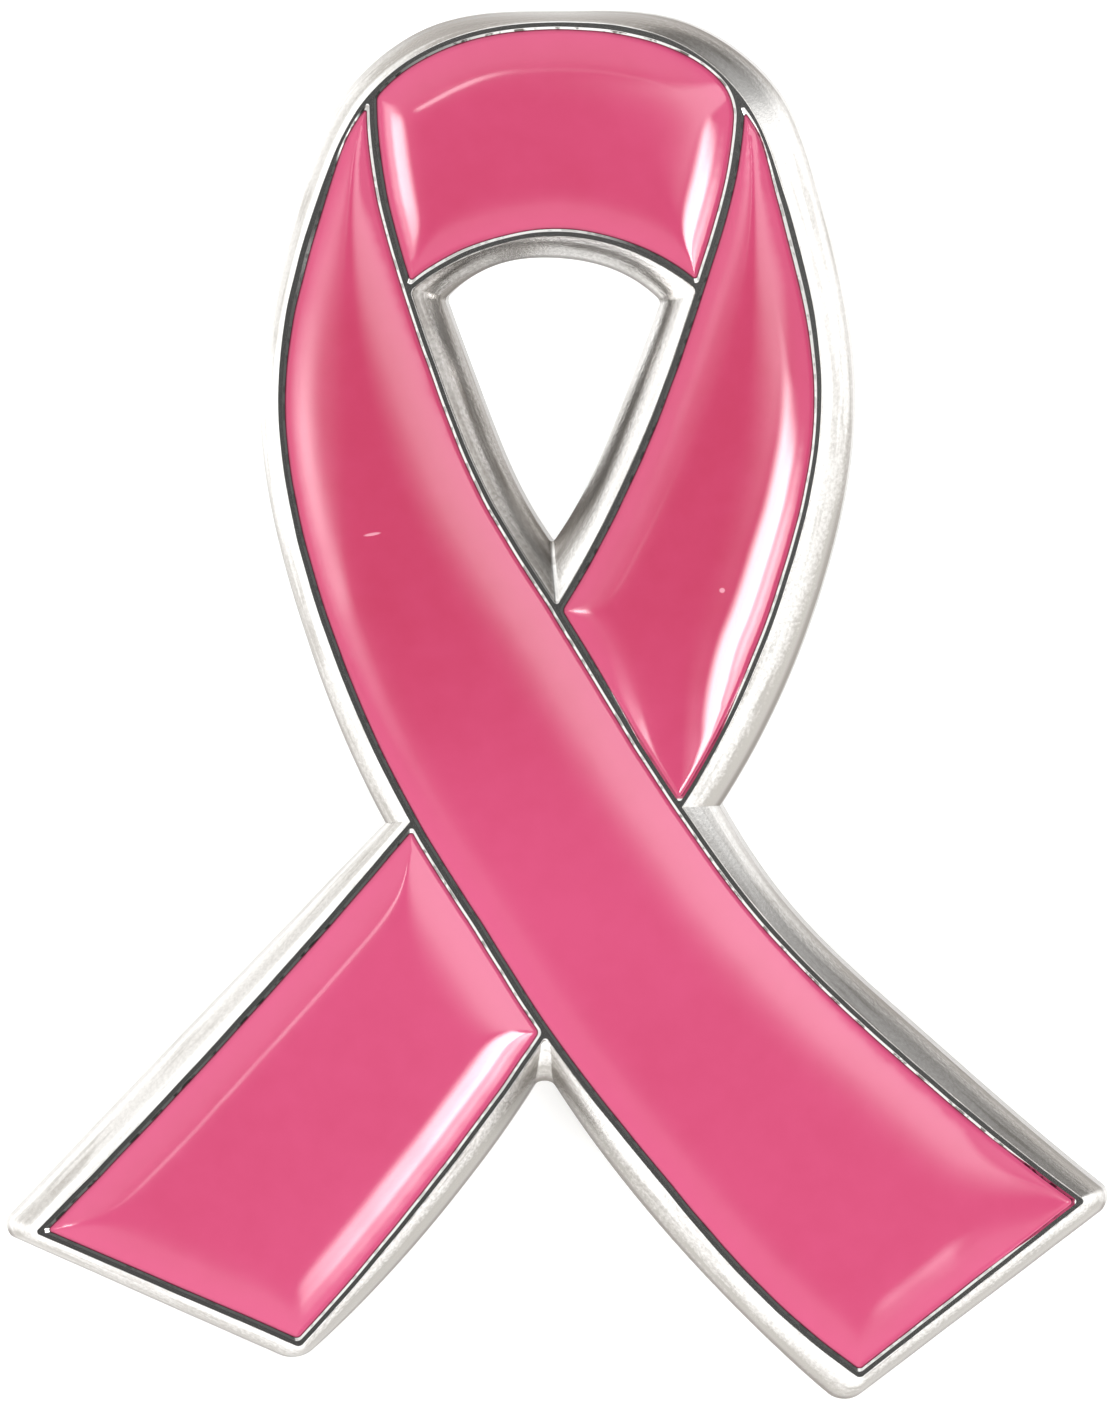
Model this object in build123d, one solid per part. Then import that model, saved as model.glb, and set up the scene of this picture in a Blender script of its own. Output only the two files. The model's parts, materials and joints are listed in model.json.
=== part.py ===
"""Awareness ribbon pin: a plated casting with four enamel fills and a back post.

The face is laid out flat first, with the lower left corner of its outline at
the origin, across to the right and up the ribbon. It is then leaned back on
the post tip and the two lower tail corners, as the pin rests on a table.
"""

from build123d import *
from collections import namedtuple
import math
import os

os.makedirs("parts", exist_ok=True)

Spot = namedtuple("Spot", "across up")
Knot = namedtuple("Knot", "point heading")

# Overall outline
pin_width = 20.2
pin_height = 25.4

# Heights of the casting, from its flat back up
skirt_height = 1.05
flank_height = 0.6
ridge_rise = 0.35
ridge_share = 0.35
wall_step = 0.1
cell_depth = 0.55
shoulder_height = skirt_height + flank_height
rim_height = shoulder_height + wall_step
floor_height = rim_height - cell_depth

# Walls between and around the fills
wall_width = 0.14
shoulder_width = 0.04

# Softened corners and back edge of the casting
shoulder_round = 0.15
foot_round = 0.3
back_bevel = 0.08

# Enamel fills
enamel_clearance = 0.03
enamel_bed_gap = 0.02
enamel_edge_drop = 0.05
enamel_edge_height = rim_height - enamel_edge_drop
enamel_roll_width = 0.06
enamel_roll_rise = 0.06
enamel_slope_width = 0.25
enamel_slope_rise = 0.12

# Back post
post_across = 10.3
post_up = 12.4
post_radius = 0.5
post_length = 8.0
post_point_length = 1.2
post_tip_radius = 0.15

# Search for the pose on the table
foot_samples = 24
lean_rounds = 8
lean_guess = math.radians(30)

# Junctions of the wall lines, as shares of the outline
left_cusp = Spot(0.335, 0.940)
right_cusp = Spot(0.670, 0.938)
arch_left = Spot(0.368, 0.799)
arch_right = Spot(0.632, 0.800)
hole_foot = Spot(0.503, 0.568)
left_notch = Spot(0.372, 0.415)
right_notch = Spot(0.615, 0.426)
tail_notch = Spot(0.493, 0.263)
left_tail_side = Spot(0.031, 0.117)
left_tail_foot = Spot(0.269, 0.036)
right_tail_side = Spot(0.981, 0.142)
right_tail_foot = Spot(0.779, 0.015)

# Wall lines through the junctions, along the middle of each wall. The crown
# and the left edge of the front band share two rows, and so run smoothly on.
above_left_notch = Spot(0.279, 0.590)
below_left_notch = Spot(0.430, 0.341)
crown_line = [
    below_left_notch,
    left_notch,
    above_left_notch,
    Spot(0.252, 0.731),
    Spot(0.294, 0.879),
    left_cusp,
    Spot(0.398, 0.976),
    Spot(0.506, 0.991),
    Spot(0.615, 0.975),
    right_cusp,
    Spot(0.704, 0.879),
    Spot(0.742, 0.720),
    Spot(0.711, 0.590),
    right_notch,
]
band_left_line = [
    above_left_notch,
    left_notch,
    below_left_notch,
    tail_notch,
    Spot(0.594, 0.160),
    Spot(0.692, 0.072),
    right_tail_foot,
]
band_right_line = [
    left_cusp,
    Spot(0.349, 0.850),
    arch_left,
    Spot(0.396, 0.734),
    Spot(0.441, 0.648),
    hole_foot,
    right_notch,
    Spot(0.675, 0.360),
    Spot(0.823, 0.243),
    right_tail_side,
]
rear_left_line = [
    right_cusp,
    Spot(0.652, 0.850),
    arch_right,
    Spot(0.604, 0.734),
    Spot(0.540, 0.619),
    hole_foot,
]
arch_line = [
    arch_left,
    Spot(0.452, 0.834),
    Spot(0.506, 0.840),
    Spot(0.561, 0.832),
    arch_right,
]
tail_left_line = [left_notch, Spot(0.215, 0.272), left_tail_side]
tail_right_line = [tail_notch, Spot(0.397, 0.157), left_tail_foot]
left_tail_end_line = [left_tail_side, left_tail_foot]
right_tail_end_line = [right_tail_foot, right_tail_side]

# Foot of the casting, where the skirt meets the flat back. Its tail corners are
# given sharp, a little past the outline, and are rounded below.
foot_left_cusp = Spot(0.317, 0.949)
foot_right_cusp = Spot(0.696, 0.948)
foot_right_notch = Spot(0.650, 0.426)
foot_right_side = Spot(1.011, 0.142)
foot_right_foot = Spot(0.763, -0.009)
foot_tail_notch = Spot(0.490, 0.235)
foot_left_foot = Spot(0.265, 0.021)
foot_left_side = Spot(-0.011, 0.117)
foot_left_notch = Spot(0.345, 0.413)
foot_crown_line = [
    foot_left_notch,
    Spot(0.266, 0.565),
    Spot(0.231, 0.717),
    Spot(0.268, 0.870),
    foot_left_cusp,
    Spot(0.393, 0.991),
    Spot(0.503, 1.000),
    Spot(0.610, 0.994),
    foot_right_cusp,
    Spot(0.736, 0.876),
    Spot(0.771, 0.717),
    Spot(0.743, 0.587),
    foot_right_notch,
]
foot_lines = [
    [foot_right_notch, Spot(0.709, 0.356), Spot(0.822, 0.269), foot_right_side],
    [foot_right_side, foot_right_foot],
    [foot_right_foot, Spot(0.696, 0.038), Spot(0.592, 0.125), foot_tail_notch],
    [foot_tail_notch, Spot(0.420, 0.154), foot_left_foot],
    [foot_left_foot, foot_left_side],
    [foot_left_side, Spot(0.171, 0.269), foot_left_notch],
]
hole_foot_left = Spot(0.399, 0.792)
hole_foot_right = Spot(0.596, 0.791)
hole_foot_end = Spot(0.497, 0.615)
hole_foot_lines = [
    [
        hole_foot_left,
        Spot(0.447, 0.817),
        Spot(0.501, 0.822),
        Spot(0.558, 0.812),
        hole_foot_right,
    ],
    [
        hole_foot_right,
        Spot(0.568, 0.731),
        Spot(0.521, 0.645),
        hole_foot_end,
    ],
    [
        hole_foot_end,
        Spot(0.473, 0.645),
        Spot(0.427, 0.731),
        hole_foot_left,
    ],
]


# Curves through the tables

def point_of(spot):
    """Place one table row on the flat face."""
    return Vector(spot.across * pin_width, spot.up * pin_height)


def heading_through(before, here, after):
    """Direction of the circle through three points, at the middle one."""
    arriving = here - before
    leaving = after - here
    share = arriving.length / (arriving.length + leaving.length)
    mixed = arriving.normalized() * (1 - share) + leaving.normalized() * share
    return mixed.normalized()


def knots_through(line):
    """Give every row of a line its point and its heading."""
    points = [point_of(spot) for spot in line]
    if len(points) == 2:
        chord = (points[1] - points[0]).normalized()
        return [Knot(point, chord) for point in points]
    headings = [
        heading_through(*points[i - 1:i + 2])
        for i in range(1, len(points) - 1)
    ]
    first_chord = (points[1] - points[0]).normalized()
    last_chord = (points[-1] - points[-2]).normalized()
    headings.insert(0, (first_chord * 2 - headings[0]).normalized())
    headings.append((last_chord * 2 - headings[-1]).normalized())
    return [Knot(*pair) for pair in zip(points, headings)]


def stretches(line, *junctions):
    """Cut a line at its junctions, in the order the junctions are given."""
    knots = knots_through(line)
    pieces = []
    for start, end in zip(junctions, junctions[1:]):
        first = line.index(start)
        last = line.index(end)
        if first < last:
            pieces.append(knots[first:last + 1])
        else:
            back = knots[last:first + 1][::-1]
            pieces.append([Knot(k.point, k.heading * -1) for k in back])
    return pieces


def outward(knot):
    """Left of the heading, which is outward on a clockwise loop."""
    return Vector(-knot.heading.Y, knot.heading.X)


def offset_loop(loop, distance):
    """Move a clockwise loop outward, keeping its corners sharp."""
    moved = []
    for i, stretch in enumerate(loop):
        before = loop[i - 1][-1]
        after = loop[(i + 1) % len(loop)][0]
        pairs = [(before, stretch[0])]
        pairs += [(knot, knot) for knot in stretch[1:-1]]
        pairs += [(stretch[-1], after)]
        knots = []
        for a, b in pairs:
            miter = outward(a) + outward(b)
            reach = 2 * distance / miter.dot(miter)
            knots.append(a.point + miter * reach)
        moved.append([Knot(p, k.heading) for p, k in zip(knots, stretch)])
    return moved


def round_loop(loop, corners, radius):
    """Round the corners that end the numbered stretches."""
    rounded = []
    for i, stretch in enumerate(loop):
        knots = list(stretch)
        if (i - 1) % len(loop) in corners:
            start = knots[0]
            knots[0] = Knot(start.point + start.heading * radius, start.heading)
        if i in corners:
            end = knots[-1]
            knots[-1] = Knot(end.point - end.heading * radius, end.heading)
        rounded.append(knots)
        if i in corners:
            after = loop[(i + 1) % len(loop)][0]
            leave = Knot(after.point + after.heading * radius, after.heading)
            rounded.append([knots[-1], leave])
    return rounded


def edge_of(stretch, height):
    """Straight edge or smooth curve through the knots of one stretch."""
    points = [k.point + Vector(0, 0, height) for k in stretch]
    chord = (points[-1] - points[0]).normalized()
    if len(points) == 2 and chord.dot(stretch[0].heading) > 0.99999:
        return Edge.make_line(*points)
    headings = [stretch[0].heading, stretch[-1].heading]
    return Edge.make_spline(points, tangents=headings)


def face_of(loop, height):
    """Flat face inside a loop."""
    return Face(Wire([edge_of(stretch, height) for stretch in loop]))


def block_of(loop, low, high):
    """Upright block over a loop."""
    return Solid.extrude(face_of(loop, low), Vector(0, 0, high - low))


def loop_between(low_loop, high_loop, share):
    """Loop part of the way from one loop to another with the same rows."""
    blended = []
    for low_stretch, high_stretch in zip(low_loop, high_loop):
        knots = []
        for a, b in zip(low_stretch, high_stretch):
            point = a.point * (1 - share) + b.point * share
            heading = a.heading * (1 - share) + b.heading * share
            knots.append(Knot(point, heading.normalized()))
        blended.append(knots)
    return blended


def stack_of(*sections):
    """Solid through matching loops, each given with its height."""
    faces = [face_of(*sections[0]), face_of(*sections[-1])]
    for (low_loop, low), (high_loop, high) in zip(sections, sections[1:]):
        for low_stretch, high_stretch in zip(low_loop, high_loop):
            low_edge = edge_of(low_stretch, low)
            high_edge = edge_of(high_stretch, high)
            faces.append(Face.make_surface_from_curves(low_edge, high_edge))
    return Solid(Shell(faces))


def sides_of(foot_loop, shoulder_loop, bevel):
    """Sides of the casting, from the back up to its shoulder."""
    ridge_loop = loop_between(foot_loop, shoulder_loop, ridge_share)
    return stack_of(
        (offset_loop(foot_loop, bevel), 0),
        (foot_loop, back_bevel),
        (foot_loop, skirt_height),
        (ridge_loop, skirt_height + ridge_rise),
        (shoulder_loop, shoulder_height),
    )


# Loops, all clockwise

outer_loop = (
    stretches(crown_line, left_cusp, right_cusp, right_notch)
    + stretches(band_right_line, right_notch, right_tail_side)
    + stretches(right_tail_end_line, right_tail_side, right_tail_foot)
    + stretches(band_left_line, right_tail_foot, tail_notch)
    + stretches(tail_right_line, tail_notch, left_tail_foot)
    + stretches(left_tail_end_line, left_tail_foot, left_tail_side)
    + stretches(tail_left_line, left_tail_side, left_notch)
    + stretches(crown_line, left_notch, left_cusp)
)
foot_loop = (
    stretches(foot_crown_line, foot_left_cusp, foot_right_cusp, foot_right_notch)
    + [knots_through(line) for line in foot_lines]
    + stretches(foot_crown_line, foot_left_notch, foot_left_cusp)
)

# Stretches of both that end at a tail corner or at the notch between the tails
rounded_stretches = (2, 3, 4, 5, 6)

hole_loop = (
    stretches(arch_line, arch_left, arch_right)
    + stretches(rear_left_line, arch_right, hole_foot)
    + stretches(band_right_line, hole_foot, arch_left)
)
hole_foot_loop = [knots_through(line) for line in hole_foot_lines]

front_band_loop = (
    stretches(band_right_line, left_cusp, arch_left, hole_foot, right_notch, right_tail_side)
    + stretches(right_tail_end_line, right_tail_side, right_tail_foot)
    + stretches(band_left_line, right_tail_foot, tail_notch, left_notch)
    + stretches(crown_line, left_notch, left_cusp)
)
arched_loop = (
    stretches(crown_line, left_cusp, right_cusp)
    + stretches(rear_left_line, right_cusp, arch_right)
    + stretches(arch_line, arch_right, arch_left)
    + stretches(band_right_line, arch_left, left_cusp)
)
rear_band_loop = (
    stretches(crown_line, right_cusp, right_notch)
    + stretches(band_right_line, right_notch, hole_foot)
    + stretches(rear_left_line, hole_foot, arch_right, right_cusp)
)
tail_loop = (
    stretches(band_left_line, left_notch, tail_notch)
    + stretches(tail_right_line, tail_notch, left_tail_foot)
    + stretches(left_tail_end_line, left_tail_foot, left_tail_side)
    + stretches(tail_left_line, left_tail_side, left_notch)
)
cell_loops = {
    "front_band_enamel": front_band_loop,
    "loop_enamel": arched_loop,
    "rear_band_enamel": rear_band_loop,
    "tail_enamel": tail_loop,
}


# Casting

round_foot_loop = round_loop(foot_loop, rounded_stretches, foot_round)
shoulder_reach = wall_width / 2 + shoulder_width
shoulder_loop = offset_loop(outer_loop, shoulder_reach)
round_shoulder_loop = round_loop(shoulder_loop, rounded_stretches, shoulder_round)
rim_loop = offset_loop(outer_loop, wall_width / 2)
casting = sides_of(round_foot_loop, round_shoulder_loop, -back_bevel)
casting += block_of(rim_loop, floor_height, rim_height)

hole_shoulder_loop = offset_loop(hole_loop, -shoulder_reach)
hole_rim_loop = offset_loop(hole_loop, -wall_width / 2)
casting -= sides_of(hole_foot_loop, hole_shoulder_loop, back_bevel)
casting -= block_of(hole_rim_loop, shoulder_height, rim_height)

for loop in cell_loops.values():
    casting -= block_of(offset_loop(loop, -wall_width / 2), floor_height, rim_height)


# Back post, soldered on

tip_depth = post_length - post_tip_radius
shank_length = post_length - post_point_length
with BuildPart() as post_build:
    with BuildSketch(Plane.XZ):
        with BuildLine():
            Polyline(
                (0, skirt_height / 2),
                (post_radius, skirt_height / 2),
                (post_radius, -shank_length),
                (post_tip_radius, -tip_depth),
            )
            RadiusArc((post_tip_radius, -tip_depth), (0, -post_length), post_tip_radius)
            Line((0, -post_length), (0, skirt_height / 2))
        make_face()
    revolve(axis=Axis.Z)
casting += Pos(post_across, post_up, 0) * post_build.part


# Enamel fills

def enamel_of(loop):
    """Fill of one cell: upright sides, a rolled edge and a sloped border."""
    side_reach = -wall_width / 2 - enamel_clearance
    roll_reach = side_reach - enamel_roll_width
    roll_height = enamel_edge_height + enamel_roll_rise
    side_loop = offset_loop(loop, side_reach)
    return stack_of(
        (side_loop, floor_height + enamel_bed_gap),
        (side_loop, enamel_edge_height),
        (offset_loop(loop, roll_reach), roll_height),
        (offset_loop(loop, roll_reach - enamel_slope_width), roll_height + enamel_slope_rise),
    )


pieces = {"ribbon_casting": casting}
for name, loop in cell_loops.items():
    pieces[name] = enamel_of(loop)


# Leaning on the post tip and the two lower tail corners

foot_points = []
back_loop = offset_loop(round_foot_loop, -back_bevel)
for loop, height in ((back_loop, 0), (round_foot_loop, back_bevel)):
    for stretch in loop:
        edge = edge_of(stretch, height)
        foot_points += [edge.position_at(i / foot_samples) for i in range(foot_samples)]
left_points = [point for point in foot_points if point.X < post_across]
right_points = [point for point in foot_points if point.X > post_across]
tip_centre = Vector(post_across, post_up, -tip_depth)
up = Vector(0, math.sin(lean_guess), math.cos(lean_guess))
for _ in range(lean_rounds):
    left_contact = min(left_points, key=up.dot)
    right_contact = min(right_points, key=up.dot)
    tip_contact = tip_centre - up * post_tip_radius
    across_foot = right_contact - left_contact
    up = across_foot.cross(tip_contact - left_contact).normalized()
ribbon_up = Vector(0, 1, 0)
table = Plane(left_contact, x_dir=ribbon_up.cross(up), z_dir=up)
lean = table.location.inverse()
box = Compound([lean * piece for piece in pieces.values()]).bounding_box()
centring = Pos(-box.center().X, -box.center().Y, -box.min.Z)

for name, piece in pieces.items():
    export_step(centring * lean * piece, f"parts/{name}.step")
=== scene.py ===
"""Dressed model of an awareness ribbon pin, built around its CAD frame.

The face of the pin is drawn flat in its own frame: across to the right, up the
ribbon, and out of the face. Every piece is placed by that frame, which the
record's post gives, so it lies where the CAD casting and fills lie.
"""

import json
import math

import bmesh
import bpy
import numpy as np
from bpy.props import FloatProperty, FloatVectorProperty, PointerProperty
from mathutils import Matrix, Vector, noise
from mathutils.geometry import delaunay_2d_cdt


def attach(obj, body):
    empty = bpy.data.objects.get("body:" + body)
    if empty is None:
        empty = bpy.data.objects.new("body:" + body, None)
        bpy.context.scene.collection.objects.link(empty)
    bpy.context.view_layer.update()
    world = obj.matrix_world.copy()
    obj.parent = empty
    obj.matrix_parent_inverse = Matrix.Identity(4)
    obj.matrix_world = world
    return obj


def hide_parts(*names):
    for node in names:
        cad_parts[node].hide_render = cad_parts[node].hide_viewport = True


bl_info = {
    "name": "Awareness Ribbon Pin",
    "version": (1, 0, 0),
    "blender": (4, 5, 0),
    "location": "3D View > Sidebar > Ribbon Pin",
    "description": "Builds a plated ribbon pin with enamel fills around its CAD frame",
    "category": "Add Mesh",
}

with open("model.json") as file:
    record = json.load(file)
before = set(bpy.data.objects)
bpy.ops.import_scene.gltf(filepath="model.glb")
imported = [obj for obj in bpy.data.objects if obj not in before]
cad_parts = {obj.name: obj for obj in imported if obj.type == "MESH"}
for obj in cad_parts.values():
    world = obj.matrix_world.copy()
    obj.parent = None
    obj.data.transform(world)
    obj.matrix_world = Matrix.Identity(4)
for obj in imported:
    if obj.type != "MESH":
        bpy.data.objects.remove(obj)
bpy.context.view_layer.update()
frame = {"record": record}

MM = 0.001

# Outline tables, as shares of the face's width and height. A line is a list of
# rows, and a named row is a junction that several lines share.
FACE_WIDTH = 20.2 * MM
FACE_HEIGHT = 25.4 * MM
JUNCTIONS = {
    "left_cusp": (0.335, 0.940),
    "right_cusp": (0.670, 0.938),
    "arch_left": (0.368, 0.799),
    "arch_right": (0.632, 0.800),
    "hole_foot": (0.503, 0.568),
    "above_left_notch": (0.279, 0.590),
    "left_notch": (0.372, 0.415),
    "below_left_notch": (0.430, 0.341),
    "right_notch": (0.615, 0.426),
    "tail_notch": (0.493, 0.263),
    "left_tail_side": (0.031, 0.117),
    "left_tail_foot": (0.269, 0.036),
    "right_tail_side": (0.981, 0.142),
    "right_tail_foot": (0.779, 0.015),
}
WALL_LINES = {
    "crown": [
        "below_left_notch", "left_notch", "above_left_notch", (0.252, 0.731),
        (0.294, 0.879), "left_cusp", (0.398, 0.976), (0.506, 0.991),
        (0.615, 0.975), "right_cusp", (0.704, 0.879), (0.742, 0.720),
        (0.711, 0.590), "right_notch",
    ],
    "band_left": [
        "above_left_notch", "left_notch", "below_left_notch", "tail_notch",
        (0.594, 0.160), (0.692, 0.072), "right_tail_foot",
    ],
    "band_right": [
        "left_cusp", (0.349, 0.850), "arch_left", (0.396, 0.734),
        (0.441, 0.648), "hole_foot", "right_notch", (0.675, 0.360),
        (0.823, 0.243), "right_tail_side",
    ],
    "rear_left": [
        "right_cusp", (0.652, 0.850), "arch_right", (0.604, 0.734),
        (0.540, 0.619), "hole_foot",
    ],
    "arch": [
        "arch_left", (0.452, 0.834), (0.506, 0.840), (0.561, 0.832),
        "arch_right",
    ],
    "tail_left": ["left_notch", (0.215, 0.272), "left_tail_side"],
    "tail_right": ["tail_notch", (0.397, 0.157), "left_tail_foot"],
    "left_tail_end": ["left_tail_side", "left_tail_foot"],
    "right_tail_end": ["right_tail_foot", "right_tail_side"],
}
# Each loop runs clockwise through its lines, from junction to junction
OUTLINE = [
    ("crown", "left_cusp", "right_cusp", "right_notch"),
    ("band_right", "right_notch", "right_tail_side"),
    ("right_tail_end", "right_tail_side", "right_tail_foot"),
    ("band_left", "right_tail_foot", "tail_notch"),
    ("tail_right", "tail_notch", "left_tail_foot"),
    ("left_tail_end", "left_tail_foot", "left_tail_side"),
    ("tail_left", "left_tail_side", "left_notch"),
    ("crown", "left_notch", "left_cusp"),
]
OUTLINE_CORNERS = (2, 3, 4, 5, 6)
HOLE = [
    ("arch", "arch_left", "arch_right"),
    ("rear_left", "arch_right", "hole_foot"),
    ("band_right", "hole_foot", "arch_left"),
]
HOLE_CORNERS = (0, 1, 2)
CELLS = {
    "front_band_enamel": [
        (
            "band_right", "left_cusp", "arch_left", "hole_foot", "right_notch",
            "right_tail_side",
        ),
        ("right_tail_end", "right_tail_side", "right_tail_foot"),
        ("band_left", "right_tail_foot", "tail_notch", "left_notch"),
        ("crown", "left_notch", "left_cusp"),
    ],
    "loop_enamel": [
        ("crown", "left_cusp", "right_cusp"),
        ("rear_left", "right_cusp", "arch_right"),
        ("arch", "arch_right", "arch_left"),
        ("band_right", "arch_left", "left_cusp"),
    ],
    "rear_band_enamel": [
        ("crown", "right_cusp", "right_notch"),
        ("band_right", "right_notch", "hole_foot"),
        ("rear_left", "hole_foot", "arch_right", "right_cusp"),
    ],
    "tail_enamel": [
        ("band_left", "left_notch", "tail_notch"),
        ("tail_right", "tail_notch", "left_tail_foot"),
        ("left_tail_end", "left_tail_foot", "left_tail_side"),
        ("tail_left", "left_tail_side", "left_notch"),
    ],
}
# Cell corners with a rounding of their own, each by the stretch that it ends
WIDE_CORNERS = {"loop_enamel": {0: 0.35 * MM}}
# Corners that a fill runs into nearly level: how much of its slope is left
# there, and how far from the corner the full slope is back
LEVEL_CORNERS = {
    "front_band_enamel": {"right_tail_side": (0.12, 2.6 * MM)},
    "rear_band_enamel": {"right_notch": (0.05, 3.3 * MM)},
}
# Small pale marks in the enamel: place on the face, half length, half width and
# turn in degrees
MARKS = [
    (0.336, 0.623, 0.15 * MM, 0.026 * MM, 10),
    (0.654, 0.583, 0.050 * MM, 0.045 * MM, 0),
]
# Foot of the casting, where its skirt meets the flat back: one line over the
# crown, and the lines that follow it clockwise
FOOT_CUSPS = ((0.317, 0.949), (0.696, 0.948))
FOOT_CROWN = [
    (0.345, 0.413), (0.266, 0.565), (0.231, 0.717), (0.268, 0.870),
    FOOT_CUSPS[0], (0.393, 0.991), (0.503, 1.000), (0.610, 0.994),
    FOOT_CUSPS[1], (0.736, 0.876), (0.771, 0.717), (0.743, 0.587),
    (0.650, 0.426),
]
FOOT_LINES = [
    [(0.650, 0.426), (0.709, 0.356), (0.822, 0.269), (1.011, 0.142)],
    [(1.011, 0.142), (0.763, -0.009)],
    [(0.763, -0.009), (0.696, 0.038), (0.592, 0.125), (0.490, 0.235)],
    [(0.490, 0.235), (0.420, 0.154), (0.265, 0.021)],
    [(0.265, 0.021), (-0.011, 0.117)],
    [(-0.011, 0.117), (0.171, 0.269), (0.345, 0.413)],
]
HOLE_FOOT_LINES = [
    [(0.399, 0.792), (0.447, 0.817), (0.501, 0.822), (0.558, 0.812), (0.596, 0.791)],
    [(0.596, 0.791), (0.568, 0.731), (0.521, 0.645), (0.497, 0.615)],
    [(0.497, 0.615), (0.473, 0.645), (0.427, 0.731), (0.399, 0.792)],
]

# Heights above the flat back, as in the CAD casting
BACK = 0.0
BACK_BEVEL = 0.08 * MM
SKIRT_TOP = 1.05 * MM
FLANK_ROUND = 0.04 * MM
SHOULDER = 1.65 * MM
RIM = 1.75 * MM
CELL_FLOOR = 1.2 * MM
FOOT_ROUND = 0.36 * MM
FILL_SKIRT = 0.1 * MM

# Middle of the post on the face
POST_ACROSS = 10.3 * MM
POST_UP = 12.4 * MM

# Turns in degrees from which a junction is a corner, and a corner a narrow tip
CORNER_TURN = 20
TIP_TURN = 140

# Fineness of the meshes and of their unevenness
FOOT_SPACING = 0.08 * MM
RING_SPACING = 0.07 * MM
FINE_SPACING = 0.02 * MM
GRID_SPACING = 0.085 * MM
GRID_MARGIN = 0.05 * MM
FEWEST_POINTS = 9
SKIRT_RINGS = 9
FLANK_RINGS = 15
FLANK_BUNCHING = 1.2
FLANK_BULGE = 0.3
POST_SIDES = 48
POST_FLARE = 1.06
POST_NECK = 0.05 * MM
POST_TIP_ANGLES = (30, 60, 82)
EDGE_STEPS = np.array([0.0, 0.006, 0.013, 0.022, 0.033, 0.048, 0.068, 0.095]) * MM
CREASE = math.radians(20)
WAVER_LENGTH = 0.7 * MM
WAVER_SEED = 1
LUMP_LENGTH = 0.9 * MM
LUMP_SHIFT = {1: 0, -1: 7}

# Distance from a wall where the softened reach takes over, and over how much
SOFT_START = 0.03 * MM
SOFT_BLEND = 0.06 * MM

# Heights between which each kind of plating starts or ends, and the painted shade
# at the foot, on the bevels and on the lower and middle sides
CAST_END = (RIM - 0.09 * MM, RIM - 0.03 * MM)
BEVEL_END = (RIM - 0.006 * MM, RIM - 0.001 * MM)
EDGE_END = (SKIRT_TOP + 0.05 * MM, SKIRT_TOP + 0.17 * MM)
LOWER_END = (SKIRT_TOP + 0.2 * MM, SHOULDER)
BAND_START = (SKIRT_TOP + 0.05 * MM, SKIRT_TOP + 0.45 * MM)
BAND_END = (SHOULDER - 0.14 * MM, SHOULDER - 0.08 * MM)

# Distances from the hole's middle between which its own sides end
HOLE_REACH = (4.2 * MM, 4.5 * MM)

# Sides of the casting that get painted shade: the direction that they look in, in
# degrees round the face, and how squarely when the painted shade starts and is full
BELOW = (270, -0.05, 0.45)
ABOVE = (82, 0.40, 0.90)
RIGHT = (-20, 0.50, 0.95)
LEFT = (135, 0.45, 0.80)
HOLE_LEFT = (-10, 0.10, 0.60)

# Lengths of the patterns in the surfaces
STREAK_LENGTH = 0.14 * MM
GRAIN_LENGTH = 0.07 * MM
BROKEN_LENGTH = 0.22 * MM
WEAR_LENGTH = 1.6 * MM
DRIFT_LENGTH = 5.0 * MM
CLOUD_LENGTH = 0.5 * MM
RIPPLE_LENGTH = 1.3 * MM

# Enamel, as shares of the face from the frame's origin: where it deepens and
# lightens upwards, and where the loop's left is worn
DEEP_START = (-0.02, 0.28)
DEEP_END = (0.42, 0.60)
WORN_ACROSS = (-0.19, -0.16)
WORN_UP = (0.0, 0.10)

# Heights of the enamel between which its painted crevice shade and its thin border end
ENAMEL_SHADE_END = (RIM - 0.05 * MM, RIM + 0.015 * MM)
ENAMEL_THIN_END = (RIM + 0.03 * MM, RIM + 0.13 * MM)

# Floor, camera and picture: degrees of the camera to the right of the face's
# normal and above it, the place that it looks at, and the picture's height
# against the height of the pin in it
FLOOR_HALF = 1.5
FLOOR_CELLS = 40
VIEW_RIGHT = 3.3
VIEW_ABOVE = 2.5
VIEW_TARGET = (0.5045, 0.5012)
PICTURE_SHARE = 1406 / 1385
SENSOR_WIDTH = 36.0

# Parts of the tent: turn and tilt as in away_from, and how many degrees from
# there each starts to fade and is gone
TENT_TOP = (0, 0, 40, 70)
TENT_BACK = (60, 86, 20, 38)
DIM_OUTER = (0, 0, 56, 66)
DIM_INNER = (0, 0, 31, 36)
LOW_LIGHT = (275, 30, 12, 30)
CAMERA_DARK = (217, 4, 4.5, 16)

# Panels of light in the tent: strength and share of it, turn and tilt, depth and
# width in degrees, softness and roll
LIGHTS = (
    ("key_strength", 1.0, -37, 12.8, 8.0, 11.5, 0.45, 0),
    ("key_strength", 0.5, -36, 19, 9, 12, 0.6, 0),
    ("key_strength", 0.42, -32, 26, 9, 13, 0.6, 0),
    ("left_strength", 0.7, 187, 26, 13, 11, 0.7, 0),
    ("left_strength", 1.3, 190, 21.5, 8, 5, 0.5, 0),
    ("crease_strength", 1.0, 147, 9.8, 1.1, 7, 0.5, -18),
    ("crease_strength", 0.10, 114, 8.2, 1.0, 10, 0.6, -24),
    ("broad_strength", 1.0, 32, 19.5, 35, 12, 0.28, 0),
    ("broad_strength", 0.14, 125, 21, 27, 44, 0.2, 0),
)


# Sizes and colours that a user would change

def length(name, description, millimetres):
    """Length property with a default given in millimetres."""
    return FloatProperty(
        name=name,
        description=description,
        default=millimetres * MM,
        min=0.0,
        precision=5,
        subtype="DISTANCE",
        unit="LENGTH",
    )


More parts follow.
